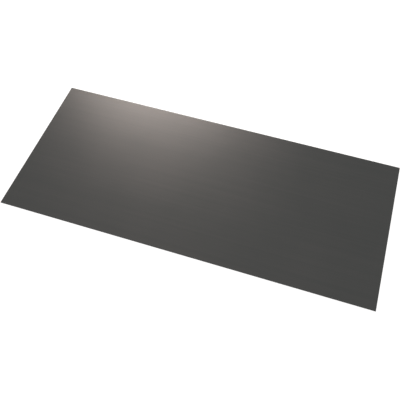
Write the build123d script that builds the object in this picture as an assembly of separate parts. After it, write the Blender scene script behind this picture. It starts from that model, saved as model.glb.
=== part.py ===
from build123d import *

import os

# Steel plate: one flat blank of rolled mild steel, cut to size on a guillotine shear.
#
# Frame: the origin is the centre of the underside, +X runs along the length, which is the rolling
# direction, +Y along the width and +Z up. All lengths are in millimetres.
#
# The plate is flat, and its four corners are square and sharp, as a shear leaves them. What makes it
# more than a block is the sheared edge. From the top face down, a sheared edge has
#   a rollover, where the blade drew the top face down before it bit,
#   a burnished land, rubbed smooth and square by the blade's side,
#   a fracture slope, where the rest of the thickness tore back across the blade clearance.
# All three are shares of the thickness, because that is what sets them when steel is sheared.

# Driving dimensions
plate_length = 900.0
plate_width = 400.0
plate_thickness = 1.5

# The sheared edge, as shares of the plate's thickness, for mild steel and a sharp blade
rollover_depth_share = 0.12
rollover_width_share = 0.20
burnish_share = 0.38
blade_clearance_share = 0.06

# How far a profile is carried past the plate's outline before the two are intersected
overrun = 5.0

rollover_depth = rollover_depth_share * plate_thickness
rollover_width = rollover_width_share * plate_thickness
burnish_height = burnish_share * plate_thickness
blade_clearance = blade_clearance_share * plate_thickness
land_top = plate_thickness - rollover_depth
land_bottom = land_top - burnish_height


def sheared_profile(span):
    """The plate's cross-section over a span: x along the span from its middle, y up from the underside."""
    edge = span / 2
    with BuildSketch() as profile:
        with BuildLine():
            Polyline(
                (0, 0),
                (edge - blade_clearance, 0),
                (edge, land_bottom),
                (edge, land_top),
            )
            EllipticalCenterArc((edge - rollover_width, land_top), rollover_width, rollover_depth)
            Polyline((edge - rollover_width, plate_thickness), (0, plate_thickness), (0, 0))
        make_face()
        mirror(about=Plane.YZ)
    return profile.sketch


def carried_across(profile, plane, breadth):
    """The profile carried square across a breadth, and past its two ends by the overrun."""
    reach = breadth / 2 + overrun
    return extrude(plane.offset(-reach) * profile, amount=2 * reach)


def steel_plate():
    """The cut over the length, carried across the width, where it meets the cut over the width."""
    cut_to_length = carried_across(sheared_profile(plate_length), Plane.XZ, plate_width)
    cut_to_width = carried_across(sheared_profile(plate_width), Plane.YZ, plate_length)
    return cut_to_length & cut_to_width


os.makedirs("parts", exist_ok=True)
plate = steel_plate()
export_step(plate, "parts/steel_plate.step")
print("steel_plate", plate.bounding_box().size, "volume", round(plate.volume, 2))
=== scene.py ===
# %% [markdown]
# # A steel plate, cut on a guillotine shear
#
# The object is about the plainest thing that a steel merchant sells: a flat blank of rolled mild steel,
# 1.5 mm thick. What makes it look real is small. Its two faces carry the satin that the mill's rolls
# pressed into them, and its four edges carry the marks of the shear. This lesson loads the plate's solid
# as a frame of true sizes, works out a skin with a real sheared edge, dresses that skin in three
# finishes, and lights it.

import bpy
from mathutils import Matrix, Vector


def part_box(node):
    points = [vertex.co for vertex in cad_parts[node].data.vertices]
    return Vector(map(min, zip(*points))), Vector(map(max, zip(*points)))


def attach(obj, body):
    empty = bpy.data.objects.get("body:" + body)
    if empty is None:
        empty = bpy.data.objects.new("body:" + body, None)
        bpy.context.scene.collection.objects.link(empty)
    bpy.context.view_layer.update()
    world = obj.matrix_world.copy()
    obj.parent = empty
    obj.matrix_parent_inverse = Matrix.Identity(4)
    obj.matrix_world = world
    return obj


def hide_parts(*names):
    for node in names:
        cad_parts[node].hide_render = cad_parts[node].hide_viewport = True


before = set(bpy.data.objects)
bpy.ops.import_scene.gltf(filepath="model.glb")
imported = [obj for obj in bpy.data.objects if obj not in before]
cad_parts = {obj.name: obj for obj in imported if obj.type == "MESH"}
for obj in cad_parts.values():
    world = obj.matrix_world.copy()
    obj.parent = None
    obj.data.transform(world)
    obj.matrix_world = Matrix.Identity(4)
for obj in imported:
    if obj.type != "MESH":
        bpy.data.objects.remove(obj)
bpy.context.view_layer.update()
plate_low, plate_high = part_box("steel_plate")
half_length = (plate_high.x - plate_low.x) / 2
half_width = (plate_high.y - plate_low.y) / 2
thickness = plate_high.z - plate_low.z
print("solids:", *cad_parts)
print(f"plate: {2 * half_length:.3f} x {2 * half_width:.3f} x {thickness:.4f} m")

# %% [markdown]
# ## The walk round the outline
#
# A shear cuts straight across, so the outline is a rectangle with sharp corners. The skin is made of
# rings, each one a rectangle a little inside that outline. They could be drawn one by one and bridged.
# Here every ring is the same walk round a square whose half-width is 1, stretched to the size that is
# wanted, so that its corners stay on the plate's mitre lines whatever the inset is. A step of the walk is
# 0.7 mm long, short enough for the tears in the edge to be real shape. Each side has a number of steps
# that can be halved six times, which the faces need later on.

# %% Walk the outline anticlockwise
import numpy as np

MM = 0.001
HALVINGS = 6
CORE_LONG, CORE_SHORT = 20, 9
long_steps, short_steps = CORE_LONG * 2**HALVINGS, CORE_SHORT * 2**HALVINGS


def walk_round():
    """Two rows of numbers, for X and Y: points on the rim of a square with half-width 1, anticlockwise
    from its near left corner. The far and left sides are the near and right sides turned half round."""
    near = np.stack([np.linspace(-1, 1, long_steps, endpoint=False), np.full(long_steps, -1.0)])
    right = np.stack([np.full(short_steps, 1.0), np.linspace(-1, 1, short_steps, endpoint=False)])
    half = np.concatenate([near, right], axis=1)
    return np.concatenate([half, -half], axis=1)


walk = walk_round()
columns = walk.shape[1]
perimeter = 4 * (half_length + half_width)
step = perimeter / columns
print(f"outline: {columns} points, one each {step / MM:.2f} mm")

# %% Stretch the walk to a ring


def ring(inset, height, stride=1):
    """Points of the rectangle that lies an inset inside the outline: X is the walk's first row times the
    half length less the inset, Y is its second row times the half width less the inset, and Z is the
    height. A stride of 2 takes every other point. Insets in several rows give as many rings."""
    walk_x, walk_y = walk[:, ::stride]
    x = walk_x * (half_length - inset)
    y = walk_y * (half_width - inset)
    return np.stack([x, y, np.broadcast_to(height, x.shape)], axis=-1)


print("a ring with no inset reaches", (ring(0.0, 0.0).max(axis=0) / MM).round(2), "mm")

# %% [markdown]
# ## Unevenness that runs round the plate
#
# From the top face down, a sheared edge has a rollover, where the blade drew the face down before it bit,
# then a bright land that the blade's side rubbed smooth, then a slope where the rest of the thickness
# tore through. On a real edge none of them is even: the rollover swells and narrows, the line where the
# tear begins wanders, the land is scored from top to bottom, and the tear is pitted. A bump in the
# material could imitate that, but a bump is lost at the outline and in an exported mesh, so here it is
# shape. It needs noise that runs round the outline and meets itself, which is white noise with its short
# waves faded out: waves in a ring always close.

# %% Noise round the outline
SEED = 15
dice = np.random.default_rng(SEED)


def noise_round(rows, blur):
    """Rows of white noise, smoothed: each wave round the outline fades by a bell curve of the blur over
    the wave's length, the mean is taken out, and the rest is scaled to a standard deviation of 1."""
    waves = np.fft.rfft(dice.standard_normal((rows, columns)), axis=1)
    wave_count = np.arange(waves.shape[1])
    waves *= np.exp(-((wave_count * blur / perimeter) ** 2))
    waves[:, 0] = 0
    field = np.fft.irfft(waves, columns, axis=1)
    return field / field.std()


print(f"noise: up to {columns // 2} waves in {perimeter:.2f} m round the plate")

# %% [markdown]
# ## The edge's sizes
#
# With a sharp blade in mild steel, the rollover goes down about an eighth of the thickness, the land takes
# a third of it or a little more, and the tear leans in by the blade's clearance. They could be written as
# lengths, but a shear makes them in proportion to the thickness, so they are shares of it, the same ones
# that the solid has. Two are made uneven, each over a length of its own: the rollover's width swells
# slowly, and the line under the land wanders quickly.

# %% Shares of the thickness, and how far they stray
ROLLOVER_DEPTH_SHARE, ROLLOVER_WIDTH_SHARE = 0.12, 0.20
BURNISH_SHARE, CLEARANCE_SHARE = 0.38, 0.06
SWELL_SHARE, SWELL_LENGTH = 0.12, 40 * MM
WANDER, WANDER_LENGTH = 0.045 * MM, 5 * MM

rollover_depth = ROLLOVER_DEPTH_SHARE * thickness
rollover_width = ROLLOVER_WIDTH_SHARE * thickness * (1 + SWELL_SHARE * noise_round(1, SWELL_LENGTH))
land_top = thickness - rollover_depth
land_bottom = land_top - BURNISH_SHARE * thickness + WANDER * noise_round(1, WANDER_LENGTH)
land_height = land_top - land_bottom
clearance = CLEARANCE_SHARE * thickness
print(f"rollover: {rollover_width.min() / MM:.2f} to {rollover_width.max() / MM:.2f} mm wide")
print(f"land: {land_height.min() / MM:.2f} to {land_height.max() / MM:.2f} mm high")

# %% [markdown]
# ## The edge's section
#
# The section is a profile that is carried along the outline. It could be one fixed curve, bevelled along
# a path. Because every column of the outline has its own widths here, the section is two grids instead,
# one of insets and one of heights, with a row for each ring and a column for each point of the outline.
# Every score and pit goes inwards, so the plate keeps its size.

# %% Rollover, land and tear
ROLLOVER_ROWS, LAND_ROWS, TEAR_ROWS = 6, 3, 6
SCORE_DEPTH, SCORE_SPACING = 0.008 * MM, 1.5 * MM
PIT_DEPTH, PIT_SPACING = 0.025 * MM, 1.6 * MM
PIT_TURN = 0.85 * np.pi


def rollover_rows():
    """A quarter of an ellipse, from the face to the land, for an angle from 90 degrees to 0: the inset is
    the width times (1 - cosine), and the height is the land's top plus the depth times the sine."""
    angle = np.linspace(np.pi / 2, 0, ROLLOVER_ROWS + 1)[:, None]
    return rollover_width * (1 - np.cos(angle)), land_top + rollover_depth * np.sin(angle)


def land_rows():
    """Upright, from the rollover down to the wandering line. The inset is the score's depth times the
    share of the way down, so that scores start from nothing at the top."""
    share = np.arange(1, LAND_ROWS + 1)[:, None] / LAND_ROWS
    scores = SCORE_DEPTH * np.abs(noise_round(1, SCORE_SPACING))
    return share * scores, land_top - share * land_height


def tear_rows():
    """A slope that leans in by the blade's clearance on its way down to the underside, with pits whose
    depth follows a sine of the share of the way down, so that they are deepest just past the middle."""
    share = np.arange(1, TEAR_ROWS + 1)[:, None] / TEAR_ROWS
    pits = PIT_DEPTH * np.sin(PIT_TURN * share) * np.abs(noise_round(TEAR_ROWS, PIT_SPACING))
    return clearance * share + pits, land_bottom * (1 - share)


zones = [np.broadcast_arrays(*zone) for zone in (rollover_rows(), land_rows(), tear_rows())]
insets, heights = (np.concatenate(grids) for grids in zip(*zones))
print(f"edge: {len(insets)} rings of {columns} points, deepest inset {insets.max() / MM:.2f} mm")

# %% [markdown]
# ## The two faces
#
# The faces are flat, so they need no fine mesh, but they have to meet thousands of points at the rim. One
# huge polygon would close each of them, and every program that reads it would cut it into long slivers.
# Instead a face is a nest of rectangles. Each ring inwards has half the points of the one outside it,
# with cells twice as long, and the last ring is filled with a plain grid. The mesh is fine where the
# shape is, and coarse where the plate is flat.

# %% A strip that halves


def halving_strip(outer, inner):
    """Triangles between a ring of point numbers and one inside it with half as many. For each inner cell,
    two stand on the outer ring and one stands on the inner ring between them."""
    first, middle, last = outer[0::2], outer[1::2], np.roll(outer[0::2], -1)
    here, ahead = inner, np.roll(inner, -1)
    corners = [(first, middle, here), (middle, ahead, here), (middle, last, ahead)]
    return np.concatenate([np.stack(corner, axis=1) for corner in corners])


print(f"strips: {HALVINGS}, from {columns} points at the rim to {columns // 2**HALVINGS} at the core")

# %% A grid in the middle


def core_grid(rim, start):
    """Point numbers of the grid that fills the last ring. Its border is that ring, and the numbers of the
    points inside it count up from the start."""
    grid = np.empty((CORE_SHORT + 1, CORE_LONG + 1), int)
    closed = np.append(rim, rim[0])
    grid[0] = closed[: CORE_LONG + 1]
    grid[:, -1] = closed[CORE_LONG : CORE_LONG + CORE_SHORT + 1]
    grid[-1, ::-1] = closed[CORE_LONG + CORE_SHORT : 2 * CORE_LONG + CORE_SHORT + 1]
    grid[::-1, 0] = closed[2 * CORE_LONG + CORE_SHORT :]
    inside = grid[1:-1, 1:-1]
    inside[:] = start + np.arange(inside.size).reshape(inside.shape)
    return grid


print(f"core: {CORE_LONG} x {CORE_SHORT} cells")

# %% Fill both faces


def flat_face(rim, rim_inset, height, start):
    """Points, triangles and quads that fill a rim of point numbers, seen from above. Each ring's inset is
    the one before it plus the length of its own cells. The core's points divide the last ring evenly."""
    points, triangles = [], []
    inset, outer = rim_inset, rim
    for stride in 2 ** np.arange(1, HALVINGS + 1):
        inset += stride * step
        points.append(ring(inset, height, stride))
        inner = start + np.arange(len(points[-1]))
        triangles.append(halving_strip(outer, inner))
        outer = inner
        start += len(inner)
    grid = core_grid(outer, start)
    core_x = (half_length - inset) * np.linspace(-1, 1, CORE_LONG + 1)[1:-1]
    core_y = (half_width - inset) * np.linspace(-1, 1, CORE_SHORT + 1)[1:-1]
    x, y = np.meshgrid(core_x, core_y)
    points.append(np.stack([x, y, np.full_like(x, height)], axis=-1).reshape(-1, 3))
    quads = np.stack([grid[:-1, :-1], grid[:-1, 1:], grid[1:, 1:], grid[1:, :-1]], axis=-1)
    return np.concatenate(points), np.concatenate(triangles), quads.reshape(-1, 4)


edge_points = ring(insets, heights).reshape(-1, 3)
edge_numbers = np.arange(insets.size).reshape(insets.shape)
top_start = len(edge_points)
top_points, top_triangles, top_quads = flat_face(edge_numbers[0], insets[0].max(), thickness, top_start)
under_start = top_start + len(top_points)
under_points, under_triangles, under_quads = flat_face(edge_numbers[-1], insets[-1].max(), 0.0, under_start)
print(f"faces: {len(top_points)} and {len(under_points)} points inside the rims")

# %% [markdown]
# ## One closed skin
#
# Edge and faces share the points of their rims, so joining them is only a matter of listing them in
# order. They could be made as three meshes and merged where their points lie together, but then the merge
# has to guess. The underside is the same pattern turned to look down, which swaps the order of each face's
# corners. A skin is closed, and all its faces look the same way, if each side of a face is met by one
# neighbour that runs the other way. Its volume is then the sum of the slim pyramids between each triangle
# and the origin.

# %% Join the edge and the faces
beside = np.roll(edge_numbers, -1, axis=1)
edge_corners = (edge_numbers[:-1], edge_numbers[1:], beside[1:], beside[:-1])
edge_quads = np.stack(edge_corners, axis=-1).reshape(-1, 4)

points = np.concatenate([edge_points, top_points, under_points])
quads = np.concatenate([edge_quads, top_quads, under_quads[:, ::-1]])
triangles = np.concatenate([top_triangles, under_triangles[:, ::-1]])
print(f"skin: {len(points)} points, {len(quads)} faces of four corners and {len(triangles)} of three")

# %% Test that the skin is closed
pairs = [np.stack([faces, np.roll(faces, -1, axis=1)], axis=-1) for faces in (quads, triangles)]
sides = np.concatenate([pair.reshape(-1, 2) for pair in pairs])
# Both numbers of a side's points in one number, in the order that its face runs and in the other order
there, back = sides @ (len(points), 1), sides @ (1, len(points))
closed = len(np.unique(there)) == len(there) and np.array_equal(np.sort(there), np.sort(back))
print("each side is met by one that runs the other way:", closed)

# %% Measure the volume
halved_quads = [quads[:, [0, 1, 2]], quads[:, [0, 2, 3]]]
a, b, c = points[np.concatenate([*halved_quads, triangles])].transpose(1, 0, 2)
volume = np.sum(a * np.cross(b, c)) / 6
print(f"skin: {len(a)} triangles round {volume / MM**3:.0f} cubic mm")

# %% [markdown]
# ## From arrays to a piece
#
# The skin becomes one mesh, as the plate is one piece of steel. It could be three objects, one for each
# finish, but then the rims would have to be kept together. Instead every face has the number of its
# finish, and the mesh takes all the numbers at once. The faces of the edge are shaded smooth, except where
# two of them meet at a sharp angle, and the flat ones stay flat. The piece rides on the plate's body and
# stands for its solid.

# %% Make the piece
import bpy

ROLLED_FACE, BURNISHED_LAND, TORN_EDGE = range(3)
SHARP = np.radians(40)

edge_finish = np.repeat([ROLLED_FACE, BURNISHED_LAND, TORN_EDGE], [ROLLOVER_ROWS, LAND_ROWS, TEAR_ROWS])
finish = np.full(len(quads) + len(triangles), ROLLED_FACE)
finish[: len(edge_quads)] = np.repeat(edge_finish, columns)
on_edge = np.arange(len(finish)) < len(edge_quads)

mesh = bpy.data.meshes.new("sheared_plate")
mesh.from_pydata(points, [], [*quads.tolist(), *triangles.tolist()])
mesh.polygons.foreach_set("material_index", finish)
mesh.polygons.foreach_set("use_smooth", on_edge)
mesh.set_sharp_from_angle(angle=SHARP)
plate = bpy.data.objects.new("sheared_plate", mesh)
bpy.context.scene.collection.objects.link(plate)
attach(plate, "root")
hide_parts("steel_plate")
print(f"piece: {plate.name}, {[round(d / MM, 3) for d in plate.dimensions]} mm")

# %% [markdown]
# ## Colours and nodes
#
# Colours are written as they would be picked on a screen, in sRGB hex. Blender's sockets want linear
# light, so one function turns one into the other. The materials are node trees built in code. They could
# be set up by hand in the shader editor, but a tree in code can take its scales from real sizes in
# millimetres. One function adds a node, sets it up and links it, so that each material reads as a list of
# what it is made of.

# %% Hex colours in linear light
SRGB_KNEE, SRGB_SLOPE, SRGB_LIFT, SRGB_POWER = 0.04045, 12.92, 0.055, 2.4


def colour(hex_text):
    """An sRGB hex colour as linear red, green and blue, with an alpha of 1. Below the knee the sRGB curve
    is a straight line, and above it a power of the lifted value."""
    srgb = np.array([int(hex_text[k : k + 2], 16) for k in (1, 3, 5)]) / 255
    curve = ((srgb + SRGB_LIFT) / (1 + SRGB_LIFT)) ** SRGB_POWER
    linear = np.where(srgb <= SRGB_KNEE, srgb / SRGB_SLOPE, curve)
    return (*linear.tolist(), 1.0)


print("mid grey #808080 is", round(colour("#808080")[0], 3), "in linear light")

# %% Nodes, and marks of a real size


def add_node(tree, kind, sockets=None, **settings):
    """A new node of a kind, with its settings. Each socket, by name or number, takes a value, or is linked
    to the output that stands in the value's place."""
    node = tree.nodes.new(kind)
    for name, value in settings.items():
        setattr(node, name, value)
    for name, value in (sockets or {}).items():
        if isinstance(value, bpy.types.NodeSocket):
            tree.links.new(value, node.inputs[name])
        else:
            node.inputs[name].default_value = value
    return node


def empty_material(name):
    """A new material and its node tree, with nothing in it."""
    material = bpy.data.materials.new(name)
    material.use_nodes = True
    material.node_tree.nodes.clear()
    return material, material.node_tree


def repeats(sizes_mm):
    """The Mapping scale at which a noise of Scale 1 has marks of these sizes, in mm along X, Y and Z."""
    return tuple(1 / (size * MM) for size in sizes_mm)


print("a mark of 5 mm has a scale of", *repeats([5]))

# %% [markdown]
# ## Rolled steel
#
# The faces are bare mild steel as it left the mill: dark grey, with an even satin that the last pair of
# rolls pressed into it. It is metal right to the surface, so the shader is fully metallic and the colour
# is what the metal reflects. One flat grey would do from afar. Close to, rolled sheet has faint streaks
# along its length, where one part of a roll was smoother than the next, slow clouds where the film of oil
# and oxide is thicker, and a fine grain of short lines. The streaks and clouds change both the gloss and
# the grey a little, so their sum drives the roughness and the colour over small ranges. The grain is
# relief, as a bump. A real line of it is some hundredths of a millimetre wide and only microns deep, so it
# is drawn coarser and deeper than that, to show at all.

# %% Satin rolled mild steel
STREAK_MM, STREAK_DETAIL = (420, 5, 1), 3.0
CLOUD_MM, CLOUD_DETAIL = (160, 160, 1), 2.0
GRAIN_MM, GRAIN_DETAIL = (12, 0.8, 1), 2.0
GRAIN_HEIGHT, GRAIN_STRENGTH = 0.05 * MM, 0.7
STEEL_DARK, STEEL_LIGHT = "#434443", "#474746"
STEEL_ROUGH = (0.308, 0.328)
# Streaks and clouds are each about a half, so their sum is about 1 and seldom leaves this range
MARKS_LOW, MARKS_HIGH = 0.6, 1.4
# A Mix node has sockets for each type of data: these are its two colours and their mixture
MIX_FIRST, MIX_SECOND, MIX_RESULT = 6, 7, 2


def rolled_mild_steel():
    """Satin metal: highlights come out broad and soft, faintly streaked along the rolling direction."""
    material, tree = empty_material("rolled_mild_steel")
    place = add_node(tree, "ShaderNodeTexCoord").outputs["Object"]
    marks = []
    for sizes, detail in ((STREAK_MM, STREAK_DETAIL), (CLOUD_MM, CLOUD_DETAIL), (GRAIN_MM, GRAIN_DETAIL)):
        scaled = add_node(tree, "ShaderNodeMapping", {"Vector": place, "Scale": repeats(sizes)}).outputs[0]
        noise = add_node(tree, "ShaderNodeTexNoise", {"Vector": scaled, "Scale": 1.0, "Detail": detail})
        marks.append(noise.outputs["Fac"])
    streaks, clouds, grain = marks
    both = add_node(tree, "ShaderNodeMath", {0: streaks, 1: clouds}, operation="ADD").outputs[0]
    limits = {"Value": both, "From Min": MARKS_LOW, "From Max": MARKS_HIGH}
    smooth, rough = STEEL_ROUGH
    gloss = add_node(tree, "ShaderNodeMapRange", {**limits, "To Min": smooth, "To Max": rough}).outputs[0]
    tone = add_node(tree, "ShaderNodeMapRange", limits).outputs[0]
    greys = {0: tone, MIX_FIRST: colour(STEEL_DARK), MIX_SECOND: colour(STEEL_LIGHT)}
    grey = add_node(tree, "ShaderNodeMix", greys, data_type="RGBA").outputs[MIX_RESULT]
    bumps = {"Height": grain, "Strength": GRAIN_STRENGTH, "Distance": GRAIN_HEIGHT}
    relief = add_node(tree, "ShaderNodeBump", bumps).outputs["Normal"]
    steel = {"Base Color": grey, "Metallic": 1.0, "Roughness": gloss, "Normal": relief}
    shader = add_node(tree, "ShaderNodeBsdfPrincipled", steel).outputs["BSDF"]
    add_node(tree, "ShaderNodeOutputMaterial", {"Surface": shader})
    return material


mesh.materials.append(rolled_mild_steel())
print("face finish:", mesh.materials[ROLLED_FACE].name)

# %% [markdown]
# ## The cut metal
#
# The land was rubbed by the blade's side under great pressure, so it is the smoothest metal on the plate,
# scored from top to bottom. Below it the steel tore, and a tear is a fine crystal grain that scatters
# light and looks darker. One material with a mask could hold both. Two short ones in two slots say plainly
# where each finish begins, and the mesh already knows which ring is which. They differ only in their
# values, so one function makes both. A real score is some hundredths of a millimetre wide and a crystal is
# finer still, so both are drawn coarser than that, to show at all.

# %% Burnished land and torn fracture
SCORE_MM, SCORE_GREYS = (0.5, 0.5, 8), ("#3a3a39", "#474645")
SCORE_ROUGH, SCORE_HEIGHT = 0.28, 0.01 * MM
CRYSTAL_MM, CRYSTAL_GREYS = (0.25, 0.25, 0.25), ("#262625", "#383736")
CRYSTAL_ROUGH, CRYSTAL_HEIGHT = 0.55, 0.05 * MM
CUT_DETAIL, CUT_STRENGTH = 3.0, 0.3


def cut_steel(name, sizes_mm, greys, roughness, height):
    """Bare cut metal: one noise mixes two greys and stands up as relief. Stretched upright and smooth it
    is the rubbed land with its scores, and even and rough it is the dull crystal grain of the tear."""
    material, tree = empty_material(name)
    place = add_node(tree, "ShaderNodeTexCoord").outputs["Object"]
    scaled = add_node(tree, "ShaderNodeMapping", {"Vector": place, "Scale": repeats(sizes_mm)}).outputs[0]
    noise = add_node(tree, "ShaderNodeTexNoise", {"Vector": scaled, "Scale": 1.0, "Detail": CUT_DETAIL})
    marks = noise.outputs["Fac"]
    dark, light = (colour(grey) for grey in greys)
    mixed = {0: marks, MIX_FIRST: dark, MIX_SECOND: light}
    grey = add_node(tree, "ShaderNodeMix", mixed, data_type="RGBA").outputs[MIX_RESULT]
    bumps = {"Height": marks, "Strength": CUT_STRENGTH, "Distance": height}
    relief = add_node(tree, "ShaderNodeBump", bumps).outputs["Normal"]
    steel = {"Base Color": grey, "Metallic": 1.0, "Roughness": roughness, "Normal": relief}
    shader = add_node(tree, "ShaderNodeBsdfPrincipled", steel).outputs["BSDF"]
    add_node(tree, "ShaderNodeOutputMaterial", {"Surface": shader})
    return material


land = cut_steel("burnished_shear_land", SCORE_MM, SCORE_GREYS, SCORE_ROUGH, SCORE_HEIGHT)
tear = cut_steel("torn_shear_fracture", CRYSTAL_MM, CRYSTAL_GREYS, CRYSTAL_ROUGH, CRYSTAL_HEIGHT)
mesh.materials.append(land)
mesh.materials.append(tear)
print("edge finishes:", mesh.materials[BURNISHED_LAND].name, "and", mesh.materials[TORN_EDGE].name)

# %% [markdown]
# ## The floor
#
# The plate lies on a pale floor. Lamps that are strong enough to turn the floor white would wash out the
# steel. So the light is kept at a plain level, and the floor adds a glow of its own, but only for rays that
# come straight from the camera or off a shiny surface. It still darkens where the plate shades it. From
# below it is clear, so that the underside can be looked at. It lies a hair under the plate, because two
# surfaces in the same place would flicker.

# %% Pale floor
FLOOR_HALF, FLOOR_DROP = 30.0, 0.02 * MM
FLOOR_COLOUR, FLOOR_GLOW = "#bcbcbc", 0.7


def seen_rays(tree):
    """1 for a ray from the camera, off a shiny surface or through glass, and 0 for light that spreads."""
    path = add_node(tree, "ShaderNodeLightPath").outputs
    shiny = {0: path["Is Camera Ray"], 1: path["Is Glossy Ray"]}
    either = add_node(tree, "ShaderNodeMath", shiny, operation="MAXIMUM").outputs[0]
    glass = {0: either, 1: path["Is Transmission Ray"]}
    return add_node(tree, "ShaderNodeMath", glass, operation="MAXIMUM").outputs[0]


def pale_floor():
    """Matt paint that glows towards the camera and is clear from below."""
    material, tree = empty_material("pale_floor")
    seen = {0: seen_rays(tree), 1: FLOOR_GLOW}
    glow = add_node(tree, "ShaderNodeMath", seen, operation="MULTIPLY").outputs[0]
    matt = add_node(tree, "ShaderNodeBsdfDiffuse", {"Color": colour(FLOOR_COLOUR)}).outputs["BSDF"]
    light = add_node(tree, "ShaderNodeEmission", {"Strength": glow}).outputs["Emission"]
    above = add_node(tree, "ShaderNodeAddShader", {0: matt, 1: light}).outputs["Shader"]
    clear = add_node(tree, "ShaderNodeBsdfTransparent").outputs["BSDF"]
    behind = add_node(tree, "ShaderNodeNewGeometry").outputs["Backfacing"]
    either = add_node(tree, "ShaderNodeMixShader", {0: behind, 1: above, 2: clear}).outputs["Shader"]
    add_node(tree, "ShaderNodeOutputMaterial", {"Surface": either})
    return material


floor_x = FLOOR_HALF * np.array([-1, 1, 1, -1])
floor_y = FLOOR_HALF * np.array([-1, -1, 1, 1])
floor_mesh = bpy.data.meshes.new("floor")
floor_mesh.from_pydata(np.stack([floor_x, floor_y, np.full(4, -FLOOR_DROP)], axis=1), [], [range(4)])
floor_mesh.materials.append(pale_floor())
floor = bpy.data.objects.new("floor", floor_mesh)
bpy.context.scene.collection.objects.link(floor)
print(f"floor: {2 * FLOOR_HALF:.0f} m square, {FLOOR_DROP / MM} mm under the plate")

# %% [markdown]
# ## The white room
#
# Around the plate there is nothing but white. Walls and a ceiling could be built for that, but a world of
# one colour does the same from every side. Like the floor, it is white where it is seen and softer as the
# light that fills the room. That light on the floor's paint, with the floor's own glow, comes to white
# too, so that no horizon shows between them.

# %% White room
ROOM_COLOUR, ROOM_LIGHT = "#ffffff", 0.6


def white_room():
    """A world of strength 1 where it is seen, and of the room light's strength where it only fills."""
    world = bpy.data.worlds.new("white_room")
    world.use_nodes = True
    tree = world.node_tree
    tree.nodes.clear()
    rise = {0: seen_rays(tree), 1: 1 - ROOM_LIGHT, 2: ROOM_LIGHT}
    strength = add_node(tree, "ShaderNodeMath", rise, operation="MULTIPLY_ADD").outputs[0]
    white = {"Color": colour(ROOM_COLOUR), "Strength": strength}
    room = add_node(tree, "ShaderNodeBackground", white).outputs["Background"]
    add_node(tree, "ShaderNodeOutputWorld", {"Surface": room})
    return world


bpy.context.scene.world = white_room()
floor_white = colour(FLOOR_COLOUR)[0] * ROOM_LIGHT + FLOOR_GLOW
print(f"room: white is 1.00, and the floor comes to {floor_white:.2f}")

# %% [markdown]
# ## The lamps
#
# The steel shows one broad warm highlight, which fades from the far left to the near right. A satin metal
# blurs what it mirrors, so that highlight is the blurred image of one strip of light behind the plate. Its
# direction is found by mirroring the line from the camera to the brightest place, and its width sets how
# far the glow spreads along the plate. A sun lamp would give the direction but not the width, so it is an
# area lamp, and its shape is an ellipse, so that the glow thins out to both sides where a rectangle's would
# stop short. A strong strip lower down would give much the same picture with the fringe of its glow, but
# from other sides its middle would glare. So this one is weak, and is mirrored just past the far edge.
#
# From any other side the plate would mirror little but the even white of the room, and look like grey card.
# So three weaker strips stand round it, each a quarter turn on, and a soft disc hangs above. The camera
# doesn't see them in the plate. They are there for a walk round it.

# %% Aim by azimuth and elevation
import math

from mathutils import Matrix, Vector


def aimed(azimuth, elevation, distance, target, roll=0.0):
    """The matrix of a thing that looks at a target from a place on a sphere round it, in degrees. Azimuth
    0 looks along +Y and 90 along -X, elevation is above the floor, and roll turns it about its own line of
    sight. The line back from the target has the cosine of the elevation along the floor and its sine up."""
    turn, rise = math.radians(azimuth), math.radians(elevation)
    back = Vector((math.sin(turn) * math.cos(rise), -math.cos(turn) * math.cos(rise), math.sin(rise)))
    level = Vector((math.cos(turn), math.sin(turn), 0.0))
    axes = Matrix((level, back.cross(level), back)).transposed().to_4x4()
    place = Matrix.Translation(Vector(target) + distance * back)
    return place @ axes @ Matrix.Rotation(math.radians(roll), 4, "Z")


print("azimuth 0, elevation 0 and distance 1 is the place", aimed(0, 0, 1, (0, 0, 0)).translation[:])

# %% Key, fills and overhead disc
LAMP_DISTANCE, LAMP_COLOUR = 3.0, "#ffefe9"
KEY_AZIMUTH, KEY_ELEVATION = 204.5, 38.0
KEY_SIZE, KEY_WATTS = (1.32, 0.25), 31.2
FILL_TURNS, FILL_ELEVATION = (90, 180, 270), 26
FILL_SIZE, FILL_WATTS = (1.3, 0.45), 7
DISC_AZIMUTH, DISC_ELEVATION = 330, 78
DISC_SIZE, DISC_WATTS = (1.0, 1.0), 6


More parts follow.
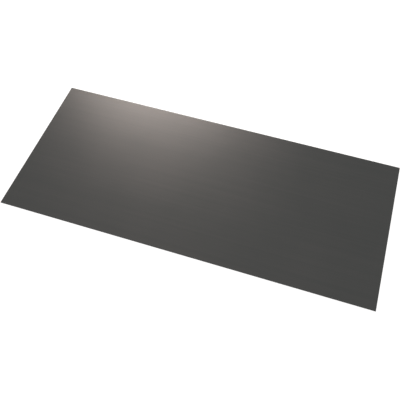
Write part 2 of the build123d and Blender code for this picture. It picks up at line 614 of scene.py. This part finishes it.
def soft_lamp(name, azimuth, elevation, size, watts):
    """An ellipse of light that faces the plate's middle, its width and height in metres. It lights the
    scene and shows in the steel, but the camera doesn't see it."""
    light = bpy.data.lights.new(name, "AREA")
    light.shape = "ELLIPSE"
    light.size, light.size_y = size
    light.energy = watts
    light.color = colour(LAMP_COLOUR)[:3]
    lamp = bpy.data.objects.new(name, light)
    lamp.matrix_world = aimed(azimuth, elevation, LAMP_DISTANCE, (0, 0, 0))
    lamp.visible_camera = False
    bpy.context.scene.collection.objects.link(lamp)
    print(f"{name}: {watts} W at {[round(x, 2) for x in lamp.matrix_world.translation]}")


soft_lamp("key_strip", KEY_AZIMUTH, KEY_ELEVATION, KEY_SIZE, KEY_WATTS)
for turn in FILL_TURNS:
    soft_lamp(f"fill_strip_{turn}", KEY_AZIMUTH + turn, FILL_ELEVATION, FILL_SIZE, FILL_WATTS)
soft_lamp("overhead_disc", DISC_AZIMUTH, DISC_ELEVATION, DISC_SIZE, DISC_WATTS)

# %% [markdown]
# ## The camera
#
# The plate is seen from above its near right side. Four corners of a rectangle whose sides are known are
# enough to work out where a camera stood, so these values come from the corners of the plate and its true
# length and width. A camera could also be moved by eye until the outlines agree, but its distance and its
# lens are hard to tell apart that way. Lamps and camera are aimed by the same function.

# %% Aim the camera
CAMERA_AZIMUTH, CAMERA_ELEVATION, CAMERA_ROLL = 18.655, 56.521, -0.558
CAMERA_DISTANCE, CAMERA_TARGET = 1.3683, (4.96 * MM, -44.62 * MM, 0.0)
CAMERA_SENSOR, CAMERA_LENS = 36.0, 51.06

lens = bpy.data.cameras.new("camera")
lens.sensor_width = CAMERA_SENSOR
lens.lens = CAMERA_LENS
camera = bpy.data.objects.new("camera", lens)
camera.matrix_world = aimed(CAMERA_AZIMUTH, CAMERA_ELEVATION, CAMERA_DISTANCE, CAMERA_TARGET, CAMERA_ROLL)
bpy.context.scene.collection.objects.link(camera)
bpy.context.scene.camera = camera
bpy.context.scene.view_settings.view_transform = "Standard"
print("camera at", [round(x, 3) for x in camera.matrix_world.translation])
